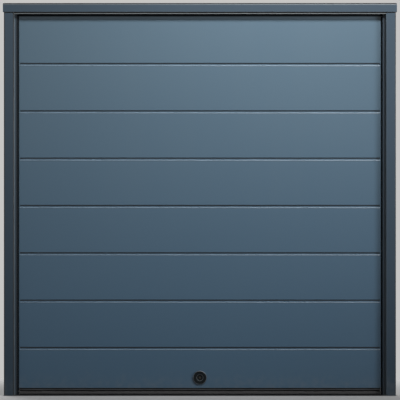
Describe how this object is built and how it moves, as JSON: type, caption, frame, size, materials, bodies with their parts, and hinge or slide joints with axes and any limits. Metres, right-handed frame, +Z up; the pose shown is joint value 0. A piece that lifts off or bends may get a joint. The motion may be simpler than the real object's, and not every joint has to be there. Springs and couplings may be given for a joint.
{
  "type": "one-piece up-and-over garage door",
  "caption": "Steel-framed one-piece garage door with wide level planks, which tilts up and over on side arms and guide rollers.",
  "frame": {"origin": "on the floor under the threshold bar, on the centre line of the door, in the plane of the outer wall face that the frame backs on to", "axes": "+X to the right seen from outside, +Y into the garage, +Z up"},
  "size_m": [2.367, 0.176, 2.358],
  "materials": {
    "frame_paint": "dark blue-grey powder coat, satin",
    "leaf_paint": "steel-blue powder coat, satin",
    "zinc": "galvanised, dull spangle",
    "sill_black": "black bitumen paint, matt",
    "carrier_metal": "mill aluminium, dulled and dirty",
    "seal_rubber": "matt",
    "black_lock": "black, satin",
    "roller_nylon": "nylon, matt"
  },
  "bodies": {
    "frame": {"left_post": "frame_paint", "right_post": "frame_paint", "header_beam": "frame_paint", "header_cap": "frame_paint", "left_guide_web": "zinc", "right_guide_web": "zinc", "left_guide_rail": "zinc", "right_guide_rail": "zinc", "pivot_brackets": "zinc", "side_lugs": "zinc", "header_lugs": "zinc", "foot_plates": "frame_paint", "threshold_bar": "sill_black", "keepers": "zinc", "side_seals": "seal_rubber", "header_seal": "seal_rubber"},
    "lift_arms": {"left_arm": "zinc", "right_arm": "zinc"},
    "leaf": {"left_stile": "leaf_paint", "right_stile": "leaf_paint", "top_rail": "leaf_paint", "bottom_rail": "leaf_paint", "muntins": "leaf_paint", "roller_cross_rails": "leaf_paint", "arm_cross_rails": "leaf_paint", "seal_carrier": "carrier_metal", "foot_seal": "seal_rubber", "plank_1": "leaf_paint", "plank_2": "leaf_paint", "plank_3": "leaf_paint", "plank_4": "leaf_paint", "plank_5": "leaf_paint", "plank_6": "leaf_paint", "plank_7": "leaf_paint", "plank_8": "leaf_paint", "escutcheon": "black_lock", "lock_case": "zinc", "latch_rods": "zinc", "latch_bolts": "zinc", "leaf_plates": "zinc", "arm_pins": "zinc", "roller_spindles": "zinc", "rollers": "roller_nylon"},
    "lock_cylinder": {"lock_plug": "black_lock"}
  },
  "joints": [
    {"name": "arm_swing", "type": "hinge", "parent": "frame", "child": "lift_arms", "pos_m": [0, 0.02, 2.1], "axis": [1, 0, 0], "range_deg": [0, 86]},
    {"name": "leaf_tilt", "type": "hinge", "parent": "lift_arms", "child": "leaf", "pos_m": [0, 0.02, 1.35], "axis": [1, 0, 0], "range_deg": [-172, 0]},
    {"name": "key_turn", "type": "hinge", "parent": "leaf", "child": "lock_cylinder", "pos_m": [0, -0.01, 0.106], "axis": [0, 1, 0], "range_deg": [0, 90]}
  ],
  "couplings": [
    {"joint": "leaf_tilt", "follows": "arm_swing", "ratio": -2}
  ]
}
